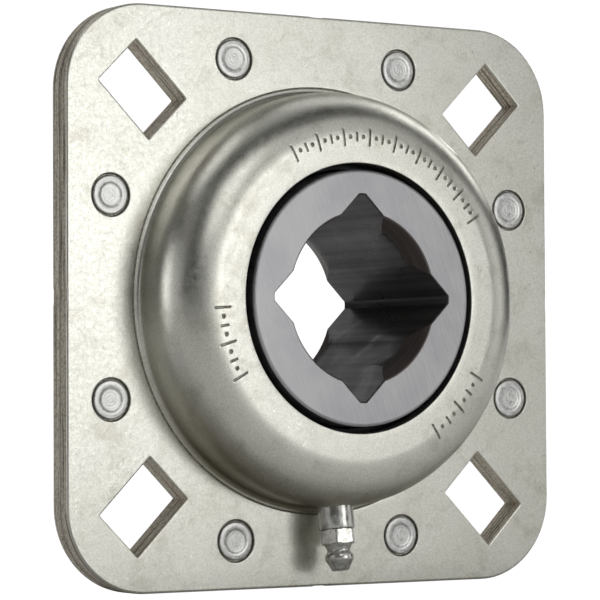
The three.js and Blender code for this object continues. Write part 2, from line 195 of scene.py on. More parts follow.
def flange_clearance(p, inset, slot_offset, rivet_r, hub_r):
    """Distance inside the flat of the flange: positive on metal, negative outside or in a hole."""
    d = -box_distance(p, (0, 0), 0, HALF - inset, HALF - inset, CORNER_R - inset)
    for i in range(4):
        a = math.radians(45 + 90 * i)
        centre = (SLOT_REACH * math.cos(a), SLOT_REACH * math.sin(a))
        d = np.minimum(d, box_distance(p, centre, a, SLOT_LONG / 2 + slot_offset,
                                       SLOT_SHORT / 2 + slot_offset, SLOT_CORNER + slot_offset))
    for x, z in RIVETS:
        d = np.minimum(d, np.hypot(p[:, 0] - x, p[:, 1] - z) - rivet_r)
    return np.minimum(d, np.hypot(p[:, 0], p[:, 1]) - hub_r)


def within(p, loop):
    """Whether points lie inside a closed loop, by counting the sides crossed."""
    a, b = loop, np.roll(loop, -1, axis=0)
    x, z = p[:, :1], p[:, 1:]
    spans = (a[:, 1] > z) != (b[:, 1] > z)
    rise = np.where(a[:, 1] == b[:, 1], 1.0, b[:, 1] - a[:, 1])
    crossing = a[:, 0] + (z - a[:, 1]) * (b[:, 0] - a[:, 0]) / rise
    return (spans & (x < crossing)).sum(axis=1) % 2 == 1


def flat_region(builder, loops, inside, y_of, spacing=None):
    """Triangulates the flat between loops, outline first. inside(points) is positive on metal."""
    verts, edges = [], []
    for loop in loops:
        start = len(verts)
        verts += [Vector(p) for p in loop]
        edges += [(start + i, start + (i + 1) % len(loop)) for i in range(len(loop))]
    if spacing:
        axis = np.arange(-HALF, HALF, spacing)
        grid = np.array([(x, z) for x in axis for z in axis]) + spacing / 2
        keep = grid[inside(grid) > spacing * 0.6]
        verts += [Vector(p) for p in keep]
    out_verts, _, tris, _, _, _ = delaunay_2d_cdt(verts, edges, [], 0, 1e-5)
    pts = np.array([tuple(v) for v in out_verts])
    tris = np.array([t for t in tris])
    centres = pts[tris].mean(axis=1)
    good = tris[(inside(centres) > -1e-4) & within(centres, loops[0])]
    ids = builder.add([(x, y, z) for (x, z), y in zip(pts, y_of(pts))])
    for t in good:
        builder.faces.append(tuple(ids[k] for k in t))
        builder.slots.append(0)


# ---------------------------------------------------------------- stamped marks

def seg(a, b):
    return (np.array(a, float), np.array(b, float))


SHAPES = {
    "long": (seg((0, -1.7), (0, 1.7)),),
    "short": (seg((0, -0.8), (0, 0.8)),),
    "dot": (seg((0, 0), (0.02, 0)),),
}
MARK_CYCLE = ("long", "dot", "short", "dot")
# (first angle, last angle, number of marks) of each row on the hub face, in degrees
MARK_ROWS = ((119, 31, 33), (184, 209, 9), (-29, -56, 9))
MARKS = [(MARK_CYCLE[i % len(MARK_CYCLE)], start + (end - start) * i / (count - 1))
         for start, end, count in MARK_ROWS for i in range(count)]
MARK_R, MARK_DEPTH = 36.2, 0.3


def mark_depth(r, t):
    """How deep the stamped marks are at polar places on the hub face."""
    depth = np.zeros_like(r)
    for shape, degrees in MARKS:
        a = math.radians(degrees)
        dt = (t - a + math.pi) % (2 * math.pi) - math.pi
        near = np.abs(dt) * MARK_R < 2.6
        u = -dt[near] * MARK_R
        v = r[near] - MARK_R
        best = np.full(u.shape, 9.0)
        for p, q in SHAPES[shape]:
            w = q - p
            k = np.clip(((u - p[0]) * w[0] + (v - p[1]) * w[1]) / (w @ w), 0, 1)
            best = np.minimum(best, np.hypot(u - p[0] - k * w[0], v - p[1] - k * w[1]))
        wide = 0.42 if shape == "dot" else 0.27
        s = np.clip((wide - best) / 0.2 + 0.3, 0, 1)
        depth[near] = np.maximum(depth[near], MARK_DEPTH * s * s * (3 - 2 * s))
    return depth


# ---------------------------------------------------------------- materials

def material(name, colour, metallic, roughness, build=None):
    m = bpy.data.materials.new(name)
    m.use_nodes = True
    nodes, links = m.node_tree.nodes, m.node_tree.links
    bsdf = nodes["Principled BSDF"]
    bsdf.inputs["Base Color"].default_value = (*colour, 1)
    bsdf.inputs["Metallic"].default_value = metallic
    bsdf.inputs["Roughness"].default_value = roughness
    if build:
        build(nodes, links, bsdf)
    return m


def coords(nodes, links, scale=(1, 1, 1), rotation=(0, 0, 0)):
    tex = nodes.new("ShaderNodeTexCoord")
    mapping = nodes.new("ShaderNodeMapping")
    mapping.vector_type = "TEXTURE"
    mapping.inputs["Scale"].default_value = [1 / v for v in scale]
    mapping.inputs["Rotation"].default_value = rotation
    links.new(tex.outputs["Object"], mapping.inputs["Vector"])
    return mapping.outputs["Vector"]


def noise_node(nodes, links, vector, scale, detail=3, rough=0.55, distortion=0.0):
    n = nodes.new("ShaderNodeTexNoise")
    n.inputs["Scale"].default_value = scale
    n.inputs["Detail"].default_value = detail
    n.inputs["Roughness"].default_value = rough
    n.inputs["Distortion"].default_value = distortion
    links.new(vector, n.inputs["Vector"])
    return n.outputs["Fac"]


def ramp(nodes, links, value, stops):
    r = nodes.new("ShaderNodeValToRGB")
    while len(r.color_ramp.elements) < len(stops):
        r.color_ramp.elements.new(0.5)
    for e, (pos, col) in zip(r.color_ramp.elements, stops):
        e.position = pos
        e.color = (*col, 1) if len(col) == 3 else col
    links.new(value, r.inputs["Fac"])
    return r.outputs["Color"]


def remap(nodes, links, value, lo, hi, a=0.0, b=1.0):
    r = nodes.new("ShaderNodeMapRange")
    r.inputs["From Min"].default_value = a
    r.inputs["From Max"].default_value = b
    r.inputs["To Min"].default_value = lo
    r.inputs["To Max"].default_value = hi
    links.new(value, r.inputs["Value"])
    return r.outputs["Result"]


def mix_colour(nodes, links, fac, a, b, blend="MIX"):
    m = nodes.new("ShaderNodeMix")
    m.data_type = "RGBA"
    m.blend_type = blend
    if isinstance(fac, (int, float)):
        m.inputs["Factor"].default_value = fac
    else:
        links.new(fac, m.inputs["Factor"])
    for value, socket in ((a, m.inputs["A"]), (b, m.inputs["B"])):
        if isinstance(value, tuple):
            socket.default_value = (*value, 1)
        else:
            links.new(value, socket)
    return m.outputs["Result"]


def bump(nodes, links, height, distance, strength=1.0, after=None):
    b = nodes.new("ShaderNodeBump")
    b.inputs["Distance"].default_value = distance
    b.inputs["Strength"].default_value = strength
    links.new(height, b.inputs["Height"])
    if after is not None:
        links.new(after, b.inputs["Normal"])
    return b.outputs["Normal"]


def reach(nodes, links, scale):
    """Distance from the origin, with the axes of small scale left out."""
    length = nodes.new("ShaderNodeVectorMath")
    length.operation = "LENGTH"
    links.new(coords(nodes, links, scale), length.inputs[0])
    return length.outputs["Value"]


PLATE_ROUGH = 0.27


def plate_look(nodes, links, bsdf):
    """Zinc-plated pressed sheet: a satin grain, cloudy plating, faint smudges and painted shade round the lower root
    of the hub.
    """
    v = coords(nodes, links)
    cloud = noise_node(nodes, links, v, 45, 3, 0.5)
    smudge = noise_node(nodes, links, v, 170, 5, 0.62, 0.4)
    speck = noise_node(nodes, links, v, 900, 4, 0.6)
    fine = noise_node(nodes, links, v, 2900, 4, 0.75)
    base = ramp(nodes, links, cloud, [(0.3, (0.77, 0.765, 0.69)), (0.7, (0.83, 0.825, 0.76))])
    dirty = ramp(nodes, links, smudge, [(0.3, (0.84, 0.83, 0.80)), (0.48, (1, 1, 1))])
    grain = ramp(nodes, links, fine, [(0.33, (0.74, 0.74, 0.72)), (0.62, (1, 1, 1))])
    base = mix_colour(nodes, links, 1.0, base, dirty, "MULTIPLY")
    base = mix_colour(nodes, links, 1.0, base, grain, "MULTIPLY")
    # Painted shade, brownish, darkens the root of the hub on its lower side.
    height = nodes.new("ShaderNodeSeparateXYZ")
    links.new(v, height.inputs["Vector"])
    wall = remap(nodes, links, reach(nodes, links, (1, 0.001, 1)), 0.0, 1.0, 0.043, 0.05)
    root_shade = ramp(nodes, links, wall, [(0.0, (1, 1, 1)), (0.5, (0.52, 0.49, 0.43)), (0.7, (0.42, 0.39, 0.33)),
                                      (0.84, (1, 1, 1))])
    low_side = remap(nodes, links, height.outputs["Z"], 0.0, 1.0, -0.012, -0.036)
    root_shaded = mix_colour(nodes, links, 1.0, base, root_shade, "MULTIPLY")
    links.new(mix_colour(nodes, links, low_side, base, root_shaded), bsdf.inputs["Base Color"])
    links.new(remap(nodes, links, speck, PLATE_ROUGH, PLATE_ROUGH + 0.1, 0.3, 0.7), bsdf.inputs["Roughness"])
    n = bump(nodes, links, fine, 0.00004, 0.5)
    n = bump(nodes, links, speck, 0.00004, 0.3, n)
    links.new(n, bsdf.inputs["Normal"])


def edge_look(nodes, links, bsdf):
    """Sheared edge of the sheet: brownish, with fine lines that run along the edge."""
    streak = noise_node(nodes, links, coords(nodes, links, (45, 2200, 45)), 1.0, 4, 0.6)
    along = noise_node(nodes, links, coords(nodes, links, (260, 420, 260)), 1.0, 3, 0.6)
    grit = noise_node(nodes, links, coords(nodes, links), 1500, 4, 0.65)
    line = ramp(nodes, links, streak, [(0.38, (0.20, 0.165, 0.12)), (0.46, (0.74, 0.68, 0.57)),
                                       (0.7, (0.95, 0.88, 0.75))])
    torn = ramp(nodes, links, grit, [(0.36, (0.55, 0.53, 0.50)), (0.54, (1, 1, 1))])
    links.new(mix_colour(nodes, links, 1.0, line, torn, "MULTIPLY"), bsdf.inputs["Base Color"])
    links.new(remap(nodes, links, along, 0.38, 0.62, 0.3, 0.7), bsdf.inputs["Roughness"])
    n = bump(nodes, links, streak, 0.00005, 0.5)
    n = bump(nodes, links, along, 0.00006, 0.5, n)
    n = bump(nodes, links, grit, 0.00006, 0.6, n)
    links.new(n, bsdf.inputs["Normal"])


def stamped_and_shade_look(nodes, links, bsdf):
    """Struck bottom of the stamped marks: darker, with dirt left in the recess. The same dark material is painted on
    the rivet dimple walls and the hub's root groove as shade.
    """
    v = coords(nodes, links)
    recess_mottle = noise_node(nodes, links, v, 1300, 4, 0.6)
    links.new(ramp(nodes, links, recess_mottle, [(0.35, (0.20, 0.19, 0.155)), (0.65, (0.42, 0.41, 0.36))]),
              bsdf.inputs["Base Color"])
    links.new(remap(nodes, links, recess_mottle, 0.55, 0.35, 0.3, 0.7), bsdf.inputs["Roughness"])
    links.new(bump(nodes, links, recess_mottle, 0.00004, 0.5), bsdf.inputs["Normal"])


def rivet_look(nodes, links, bsdf):
    """Headed rivet: bright, with turned rings from the heading tool."""
    v = coords(nodes, links)
    wave = nodes.new("ShaderNodeTexWave")
    wave.wave_type = "RINGS"
    wave.rings_direction = "Y"
    wave.inputs["Scale"].default_value = 420
    wave.inputs["Distortion"].default_value = 1.5
    wave.inputs["Detail"].default_value = 2
    wave.inputs["Detail Scale"].default_value = 2
    links.new(v, wave.inputs["Vector"])
    grit = noise_node(nodes, links, v, 1400, 4, 0.6)
    links.new(ramp(nodes, links, grit, [(0.35, (0.50, 0.50, 0.48)), (0.62, (0.74, 0.74, 0.72))]),
              bsdf.inputs["Base Color"])
    links.new(remap(nodes, links, grit, 0.26, 0.46, 0.3, 0.7), bsdf.inputs["Roughness"])
    n = bump(nodes, links, wave.outputs["Fac"], 0.00003, 0.4)
    n = bump(nodes, links, grit, 0.00004, 0.5, n)
    links.new(n, bsdf.inputs["Normal"])


def ground_look(nodes, links, bsdf):
    """Ground bearing steel: fine parallel lines across the face and faint blue-grey patches."""
    lines = noise_node(nodes, links, coords(nodes, links, (4200, 120, 160), (0, math.radians(-22), 0)), 1.0, 3, 0.6)
    cloud = noise_node(nodes, links, coords(nodes, links), 90, 3, 0.5)
    base = ramp(nodes, links, lines, [(0.3, (0.38, 0.38, 0.385)), (0.7, (0.50, 0.50, 0.505))])
    tint = ramp(nodes, links, cloud, [(0.35, (0.88, 0.88, 0.90)), (0.6, (1, 1, 1))])
    links.new(mix_colour(nodes, links, 1.0, base, tint, "MULTIPLY"), bsdf.inputs["Base Color"])
    links.new(remap(nodes, links, lines, 0.34, 0.46, 0.3, 0.7), bsdf.inputs["Roughness"])
    links.new(bump(nodes, links, lines, 0.00002, 0.35), bsdf.inputs["Normal"])


def bore_look(nodes, links, bsdf):
    """Broached bore with a dark heat-treated skin: long draw lines and glossy patches."""
    lines = noise_node(nodes, links, coords(nodes, links, (700, 14, 700)), 1.0, 3, 0.6)
    patch = noise_node(nodes, links, coords(nodes, links), 110, 2, 0.5, 0.6)
    links.new(ramp(nodes, links, lines, [(0.3, (0.035, 0.032, 0.033)), (0.7, (0.12, 0.112, 0.11))]),
              bsdf.inputs["Base Color"])
    links.new(remap(nodes, links, patch, 0.24, 0.4, 0.35, 0.65), bsdf.inputs["Roughness"])
    links.new(bump(nodes, links, lines, 0.00004, 0.5), bsdf.inputs["Normal"])


def lead_look(nodes, links, bsdf):
    """Turned lead-in of the bore: brownish grey, with fine rings."""
    rings = noise_node(nodes, links, coords(nodes, links, (60, 2600, 60)), 1.0, 3, 0.6)
    links.new(ramp(nodes, links, rings, [(0.3, (0.09, 0.078, 0.072)), (0.7, (0.19, 0.165, 0.152))]),
              bsdf.inputs["Base Color"])
    links.new(remap(nodes, links, rings, 0.3, 0.45, 0.3, 0.7), bsdf.inputs["Roughness"])
    links.new(bump(nodes, links, rings, 0.00003, 0.5), bsdf.inputs["Normal"])


def zinc_look(nodes, links, bsdf):
    """Bright zinc plating on turned parts: glossy, with fine turning marks and small dull spots."""
    turn = noise_node(nodes, links, coords(nodes, links, (120, 120, 3800)), 1.0, 2, 0.5)
    spot = noise_node(nodes, links, coords(nodes, links), 700, 4, 0.65)
    links.new(ramp(nodes, links, spot, [(0.36, (0.40, 0.40, 0.36)), (0.55, (0.72, 0.715, 0.68))]),
              bsdf.inputs["Base Color"])
    links.new(remap(nodes, links, spot, 0.13, 0.28, 0.3, 0.7), bsdf.inputs["Roughness"])
    n = bump(nodes, links, turn, 0.00003, 0.3)
    n = bump(nodes, links, spot, 0.00003, 0.3, n)
    links.new(n, bsdf.inputs["Normal"])


def rubber_look(nodes, links, bsdf):
    """Black seal rubber, matte, with a light grease film."""
    v = coords(nodes, links)
    film = noise_node(nodes, links, v, 160, 3, 0.5)
    pores = noise_node(nodes, links, v, 2200, 2, 0.5)
    links.new(ramp(nodes, links, pores, [(0.3, (0.010, 0.010, 0.011)), (0.7, (0.022, 0.022, 0.024))]),
              bsdf.inputs["Base Color"])
    links.new(remap(nodes, links, film, 0.42, 0.75, 0.35, 0.65), bsdf.inputs["Roughness"])
    links.new(bump(nodes, links, pores, 0.00003, 0.4), bsdf.inputs["Normal"])


def polished_look(nodes, links, bsdf):
    """Lapped steel with a faint grease smear."""
    v = coords(nodes, links)
    smear = noise_node(nodes, links, v, 240, 3, 0.5, 0.8)
    links.new(ramp(nodes, links, smear, [(0.3, (0.66, 0.67, 0.68)), (0.7, (0.78, 0.79, 0.80))]),
              bsdf.inputs["Base Color"])
    links.new(remap(nodes, links, smear, 0.06, 0.16, 0.3, 0.7), bsdf.inputs["Roughness"])
    links.new(bump(nodes, links, smear, 0.00001, 0.2), bsdf.inputs["Normal"])


def strip_look(nodes, links, bsdf):
    """Cold-rolled strip of the cage and the seal shields: rolled lines and light handling marks."""
    roll = noise_node(nodes, links, coords(nodes, links, (300, 2000, 2400)), 1.0, 3, 0.55)
    cloud = noise_node(nodes, links, coords(nodes, links), 130, 3, 0.5)
    links.new(ramp(nodes, links, cloud, [(0.3, (0.38, 0.35, 0.30)), (0.7, (0.50, 0.47, 0.41))]),
              bsdf.inputs["Base Color"])
    links.new(remap(nodes, links, roll, 0.32, 0.5, 0.3, 0.7), bsdf.inputs["Roughness"])
    links.new(bump(nodes, links, roll, 0.00002, 0.4), bsdf.inputs["Normal"])


PLATE = material("zinc_plated_sheet", (0.66, 0.65, 0.61), 1.0, 0.42, plate_look)
EDGE = material("sheared_edge", (0.6, 0.57, 0.5), 0.25, 0.5, edge_look)
# The dark recess material also paints shade on the dimple walls and in the root groove.
STAMPED_AND_SHADE = material("stamped_recess_and_painted_shade", (0.3, 0.29, 0.25), 0.8, 0.45, stamped_and_shade_look)
RIVET = material("rivet_steel", (0.66, 0.66, 0.64), 1.0, 0.35, rivet_look)
GROUND = material("ground_ring_steel", (0.33, 0.34, 0.36), 1.0, 0.4, ground_look)
BORE = material("broached_bore", (0.06, 0.056, 0.056), 0.45, 0.3, bore_look)
LEAD = material("turned_lead_in", (0.12, 0.105, 0.098), 0.4, 0.35, lead_look)
ZINC = material("bright_zinc", (0.68, 0.68, 0.66), 0.72, 0.22, zinc_look)
RUBBER = material("seal_rubber", (0.015, 0.015, 0.016), 0.0, 0.6, rubber_look)
POLISHED = material("lapped_steel", (0.74, 0.75, 0.76), 1.0, 0.1, polished_look)
STRIP = material("rolled_strip", (0.45, 0.42, 0.36), 1.0, 0.4, strip_look)


# ---------------------------------------------------------------- flangettes

HUB_COUNT = 1440
HUB_EDGE_R, MATING_EDGE_R = 51.5, SEAT_R + 1.3
DIMPLE_EDGE_R = 5.06


# Divisions of a rivet dimple, and the steps of its profile that are painted dark as shade round the rivet head.
DIMPLE_COUNT = 72
DIMPLE_SHADE_STEPS = range(3, 8)
# Steps of the hub profile at the bottom of the root groove, painted dark as shade: first, and one past the last.
GROOVE_SHADE_STEPS = (4, 7)


def flangette(name, side, marks):
    b = Builder()

    def at(loop2d, depth):
        return np.column_stack([loop2d[:, 0], np.full(len(loop2d), side * depth), loop2d[:, 1]])

    # Sheared outline, rolled over at the outer face.
    outline = [(0.03, MATING), (0.0, MATING + 0.04), (0.0, 2.6), (0.02, 2.9), (0.08, 3.08), (0.2, 3.2),
               (0.36, 3.28), (0.5, FACE), (OUTLINE_ROLL, FACE)]
    ids = [b.add(at(rounded_square(o), d)) for o, d in outline]
    for k in range(len(ids) - 1):
        b.bridge(ids[k], ids[k + 1], 1 if k < 3 else 0)
    # Slots, pierced from the outer face.
    slot_profile = [(SLOT_ROLL, FACE), (0.36, FACE), (0.2, 3.27), (0.09, 3.19), (0.02, 3.06), (0.0, 2.85), (0.0, MATING + 0.05),
                    (0.05, MATING)]
    for i in range(4):
        ids = [b.add(at(slot_outline(i, o), d)) for o, d in slot_profile]
        for k in range(len(ids) - 1):
            b.bridge(ids[k], ids[k + 1], 0 if k < 4 else 1)
    # Rivet dimples and holes; the dimple walls and floor are painted dark as shade round the rivet heads.
    dimple = [(DIMPLE_EDGE_R, FACE), (4.95, FACE), (4.88, 3.27), (4.81, 3.16), (4.76, 2.98), (4.72, 2.7), (4.62, 2.57),
              (4.5, 2.55), (3.0, 2.55), (2.95, 2.5), (2.95, MATING)]
    for x, z in RIVETS:
        ids = [b.add(at(circle(r, DIMPLE_COUNT, (x, z)), d)) for r, d in dimple]
        for k in range(len(ids) - 1):
            b.bridge(ids[k], ids[k + 1], 2 if k in DIMPLE_SHADE_STEPS else 0)
    # Hub, from the flat of the flange over the shoulder to the opening and back along the seat.
    wall_r, shoulder = 47.06, 11.19
    # A fine groove is pressed round the root by the edge of the die.
    fillet = 1.1
    profile = [(HUB_EDGE_R, FACE), (50.2, FACE), (49.2, FACE), (48.86, FACE - 0.02), (48.76, FACE - 0.17),
               (48.62, FACE - 0.25), (48.48, FACE - 0.2), (48.4, FACE - 0.03)]
    profile += arc(wall_r + fillet + 0.12, FACE + fillet, fillet, 272, 192, 9)
    profile += [(wall_r + 0.06, FACE + fillet + 0.8), (wall_r, FACE + fillet + 1.8)]
    profile += [(wall_r, HUB_FACE - shoulder - 1.5)]
    profile += arc(wall_r - shoulder, HUB_FACE - shoulder, shoulder, 0, 72, 22)
    band = [(r, None) for r in np.arange(39.1, 33.3, -0.2)]
    for r, _ in band:
        d = HUB_FACE
        if r > wall_r - shoulder:
            d = HUB_FACE - shoulder + math.sqrt(shoulder ** 2 - (r - wall_r + shoulder) ** 2)
        profile.append((r, d))
    profile += [(32, HUB_FACE), (OPENING_R + 0.3, HUB_FACE)]
    profile += arc(OPENING_R + 0.22, HUB_FACE - 0.22, 0.22, 80, 180, 5)
    profile += [(OPENING_R, HUB_INSIDE + 0.35)] + arc(OPENING_R + 0.3, HUB_INSIDE + 0.3, 0.3, 190, 270, 4)
    seat_end = math.degrees(math.asin(HUB_INSIDE / SEAT_R))
    profile += arc(0, 0, SEAT_R, seat_end, math.degrees(math.asin(MATING / SEAT_R)), 18)
    profile.append((MATING_EDGE_R, MATING))
    t = np.linspace(0, 2 * math.pi, HUB_COUNT, endpoint=False)
    c, s = np.cos(t), np.sin(t)
    loops, sunk = [], []
    for r, d in profile:
        depth = np.full(HUB_COUNT, float(d))
        cut = np.zeros(HUB_COUNT)
        if marks and 33.3 < r < 39.2 and d > HUB_INSIDE + 1:
            cut = mark_depth(np.full(HUB_COUNT, r), t)
        depth = depth - cut
        sunk.append(cut)
        loops.append(np.column_stack([r * c, side * depth, r * s]))
    first = len(b.faces)
    b.skin(loops)
    for k, (near, far) in enumerate(zip(sunk, sunk[1:])):
        deep = (near + far + np.roll(near, -1) + np.roll(far, -1)) / 4 > 0.25 * MARK_DEPTH
        for i in np.flatnonzero(deep):
            b.slots[first + k * HUB_COUNT + i] = 2
    # The bottom of the root groove takes the dark recess material as painted shade.
    for i in range(GROOVE_SHADE_STEPS[0] * HUB_COUNT, GROOVE_SHADE_STEPS[1] * HUB_COUNT):
        b.slots[first + i] = 2
    # Flat of the flange, a little wavy as pressed sheet is, and the flat mating face.
    front = [rounded_square(OUTLINE_ROLL)] + [slot_outline(i, SLOT_ROLL) for i in range(4)]
    front += [circle(DIMPLE_EDGE_R, DIMPLE_COUNT, p) for p in RIVETS] + [circle(HUB_EDGE_R, HUB_COUNT)]

    def front_inside(p):
        return flange_clearance(p, OUTLINE_ROLL, SLOT_ROLL, DIMPLE_EDGE_R, HUB_EDGE_R)

    def wavy(p):
        d = np.clip(front_inside(p) / 6.0, 0, 1)
        wave = np.array([noise.noise(Vector((x * 0.06, side * 5.0, z * 0.06))) for x, z in p])
        return side * (FACE - 0.03 * d * d * (0.5 + wave))

    flat_region(b, front, front_inside, wavy, 2.5)
    back = [rounded_square(0.03)] + [slot_outline(i, 0.05) for i in range(4)]
    back += [circle(2.95, DIMPLE_COUNT, p) for p in RIVETS]
    back += [circle(MATING_EDGE_R, HUB_COUNT)]
    flat_region(b, back, lambda p: flange_clearance(p, 0.03, 0.05, 2.95, MATING_EDGE_R),
                lambda p: np.full(len(p), side * MATING), 3.0)
    return b.make(name + "_sheet", [PLATE, EDGE, STAMPED_AND_SHADE], "housing", [name], 38)


flangette("front_flangette", -1, True)
flangette("rear_flangette", 1, False)

for i, (x, z) in enumerate(RIVETS):
    b = Builder()
    head = [(0.35, 3.03), (1.0, 3.02), (1.9, 3.01), (2.45, 3.03), (2.65, 3.08), (2.78, 3.16), (2.95, 3.2), (3.3, 3.21),
            (3.9, 3.21), (4.1, 3.18), (4.24, 3.08), (4.3, 2.92), (4.3, 2.7), (4.2, 2.61), (2.85, 2.6)]
    half = [(r, d) for r, d in head]
    profile = half + [(r, -d) for r, d in reversed(half)]
    ids = b.skin(revolve_loops(profile, 72))
    b.cap(ids[0])
    b.cap(ids[-1])
    b.make(f"flange_rivet_{i + 1}_head", [RIVET], "housing", [f"flange_rivet_{i + 1}"], 50,
           Matrix.Translation(Vector((x, 0, z)) * MM))


# ---------------------------------------------------------------- inner ring

BORE_CHORD = 14


def bore_section(flat, tip, round_r, chord=BORE_CHORD, straight=6):
    """The square on its corner, tips cut flat, opened by a circle at the middle of each flat."""
    out = []
    swing = math.acos(min(1.0, flat / round_r))
    for q in range(4):
        mid = math.radians(45 + 90 * q)
        normal = np.array([math.cos(mid), math.sin(mid)])
        along = np.array([-math.sin(mid), math.cos(mid)])
        for k in range(chord + 1):
            a = mid - swing + 2 * swing * k / chord
            out.append((round_r * math.cos(a), round_r * math.sin(a)))
        reach = math.sqrt(round_r ** 2 - flat ** 2)
        # Half width of the cut-off tip, and where it meets the flat.
        tip_half = flat * math.sqrt(2) - tip
        end = flat - math.sqrt(2) * tip_half + 0.0
        for k in range(1, straight + 1):
            p = normal * flat + along * (reach + (end - reach) * k / straight)
            out.append(tuple(p))
        corner_dir = np.array([math.cos(mid + math.pi / 4), math.sin(mid + math.pi / 4)])
        across = np.array([-corner_dir[1], corner_dir[0]])
        out.append(tuple(corner_dir * tip - across * tip_half * 0.35 + corner_dir * 0.06))
        out.append(tuple(corner_dir * tip + across * tip_half * 0.35 + corner_dir * 0.06))
        nxt = math.radians(45 + 90 * (q + 1))
        n2 = np.array([math.cos(nxt), math.sin(nxt)])
        a2 = np.array([-math.sin(nxt), math.cos(nxt)])
        for k in range(straight, 0, -1):
            p = n2 * flat - a2 * (reach + (end - reach) * k / straight)
            out.append(tuple(p))
    return np.array(out)


def inner_ring():
    b = Builder()
    flat, tip, pilot, lead, lead_len = 16.95, 23.15, 17.5, 19.2, 5.5
    inner = []
    ys = [(-RING_FACE, 0.3), (-RING_FACE + 0.09, 0.1), (-RING_FACE + 0.3, 0.0)]
    ys += [(-RING_FACE + v, 0.0) for v in (1.5, 3.0, 4.5, 5.4, 5.6, 8, 12, 16)]
    ys = ys + [(0.0, 0.0)] + [(-y, o) for y, o in reversed(ys)]
    for y, offset in ys:
        into = RING_FACE - abs(y)
        r = pilot + max(0.0, (1 - into / lead_len)) * (lead - pilot)
        sec = bore_section(flat + offset, tip + offset, r + offset)
        inner.append(np.column_stack([sec[:, 0], np.full(len(sec), y), sec[:, 1]]))
    first = len(b.faces)
    ids = b.skin(inner, 1)
    # The turned lead-in cones show only between the corners of the square.
    quarter = len(inner[0]) // 4
    for k, (y, _) in enumerate(ys[:-1]):
        if abs(y + ys[k + 1][0]) / 2 > RING_FACE - lead_len:
            for i in range(len(inner[0])):
                if i % quarter < BORE_CHORD:
                    b.slots[first + k * len(inner[0]) + i] = 2

    # The outside has a finer, even division, joined to the face by triangulation of the annulus.
    fine = 256
    race = arc(32.65, 0, 6.6, 180 + math.degrees(math.acos(3.89 / 6.6)), 180 - math.degrees(math.acos(3.89 / 6.6)), 20)
    outside = [(28.1, -RING_FACE), (28.42, -RING_FACE + 0.1), (28.68, -RING_FACE + 0.32), (28.76, -RING_FACE + 0.6)]
    outside = outside + [(28.76, -12), (28.76, -8)] + race + [(28.76, 8), (28.76, 12)] + [(r, -y) for r, y in reversed(outside[:4])]
    outer_loops = revolve_loops(outside, fine)
    b.skin(outer_loops, 0)
    for y_index, y in ((0, -RING_FACE), (-1, RING_FACE)):
        loops = [outer_loops[y_index][:, [0, 2]], inner[y_index][:, [0, 2]]]
        flat_region(b, loops, lambda p, bore=loops[1]: np.where(within(p, bore), -1.0, 1.0),
                    lambda p, y=y: np.full(len(p), y))
    return b.make("inner_ring_ground", [GROUND, BORE, LEAD], "bearing_inner", ["inner_ring"], 14)


inner_ring()


# ---------------------------------------------------------------- insert, behind the hub

def revolved(name, profile, material_, body, nodes, count=160, sharp=30):
    b = Builder()
    b.skin(revolve_loops(profile, count), closed=True)
    return b.make(name, [material_], body, nodes, sharp)


for side, word in ((-1, "front"), (1, "rear")):
    lip = [(29.1, 13.0), (29.4, 12.6), (30.6, 12.1), (38.1, 12.1), (38.1, 14.3), (37.9, 14.5), (36.4, 14.3), (36.0, 13.7),
           (33.5, 13.6), (32.0, 13.7), (30.6, 14.2), (29.7, 14.45), (29.25, 14.4), (29.1, 14.15)]
    revolved(f"{word}_seal_rubber", [(r, side * d) for r, d in lip], RUBBER, "bearing_outer", [f"{word}_seal"])
    plate = [(30.2, 11.2), (30.3, 11.1), (37.6, 11.1), (38.1, 11.3), (38.1, 12.0), (30.3, 12.0), (30.2, 11.9)]
    revolved(f"{word}_seal_shield_disc", [(r, side * d) for r, d in plate], STRIP, "bearing_outer",
             [f"{word}_seal_shield"])


# ---------------------------------------------------------------- grease fitting

def fitting_frame():
    """Local +Y runs outwards along the fitting's axis."""
    turn = Matrix.Rotation(-(math.pi / 2 + FITTING_TILT), 4, "X")
    return Matrix.Translation(FITTING_ORIGIN * MM) @ turn


def boss():
    b = Builder()
    profile = [(2.72, -4.0), (4.07, -4.0), (4.1, -3.0), (4.1, 1.0), (4.1, 5.1), (4.02, 5.4), (3.82, 5.55),
               (2.95, 5.55), (2.72, 5.35)]
    b.skin(revolve_loops(profile, 96), closed=True)
    return b.make("fitting_boss_turned", [ZINC], "housing", ["fitting_boss"], 35, fitting_frame())


def nipple():
    b = Builder()
    count = 144
    t = np.linspace(0, 2 * math.pi, count, endpoint=False)
    flat_middle, sixth = math.radians(24), math.pi / 3
    hex_r = 3.65 / np.cos((t - flat_middle + sixth / 2) % sixth - sixth / 2)

    def ring(y, r=None, hex_cap=None):
        radius = np.full(count, r) if r is not None else np.minimum(hex_r, hex_cap)
        return np.column_stack([radius * np.cos(t), np.full(count, y), radius * np.sin(t)])

    loops = [ring(-1.0, 2.45), ring(-0.8, 2.6), ring(5.6, 2.6), ring(5.61, 3.4)]
    loops += [ring(y, hex_cap=cap) for y, cap in ((5.62, 3.7), (5.75, 4.08), (5.85, 4.22), (8.6, 4.22),
                                                  (8.72, 4.08), (8.85, 3.75))]
    loops += [ring(y, r) for y, r in (
        (8.87, 3.2), (9.0, 3.12), (9.6, 2.86), (10.1, 2.64), (10.4, 2.6), (10.7, 2.68), (11.0, 2.92), (11.25, 3.13),
        (11.45, 3.2), (12.4, 3.2), (12.6, 3.12), (12.75, 3.0), (13.8, 2.4), (14.3, 2.12), (14.55, 2.07), (14.7, 1.95),
        (14.82, 1.7), (14.85, 1.4), (14.85, 0.75), (14.75, 0.62), (13.95, 0.6), (13.45, 1.05), (-1.0, 1.05))]
    b.skin(loops, closed=True)
    return b.make("grease_fitting_zinc", [ZINC], "housing", ["grease_fitting"], 28, fitting_frame())


boss()
nipple()

# ---------------------------------------------------------------- rolling parts

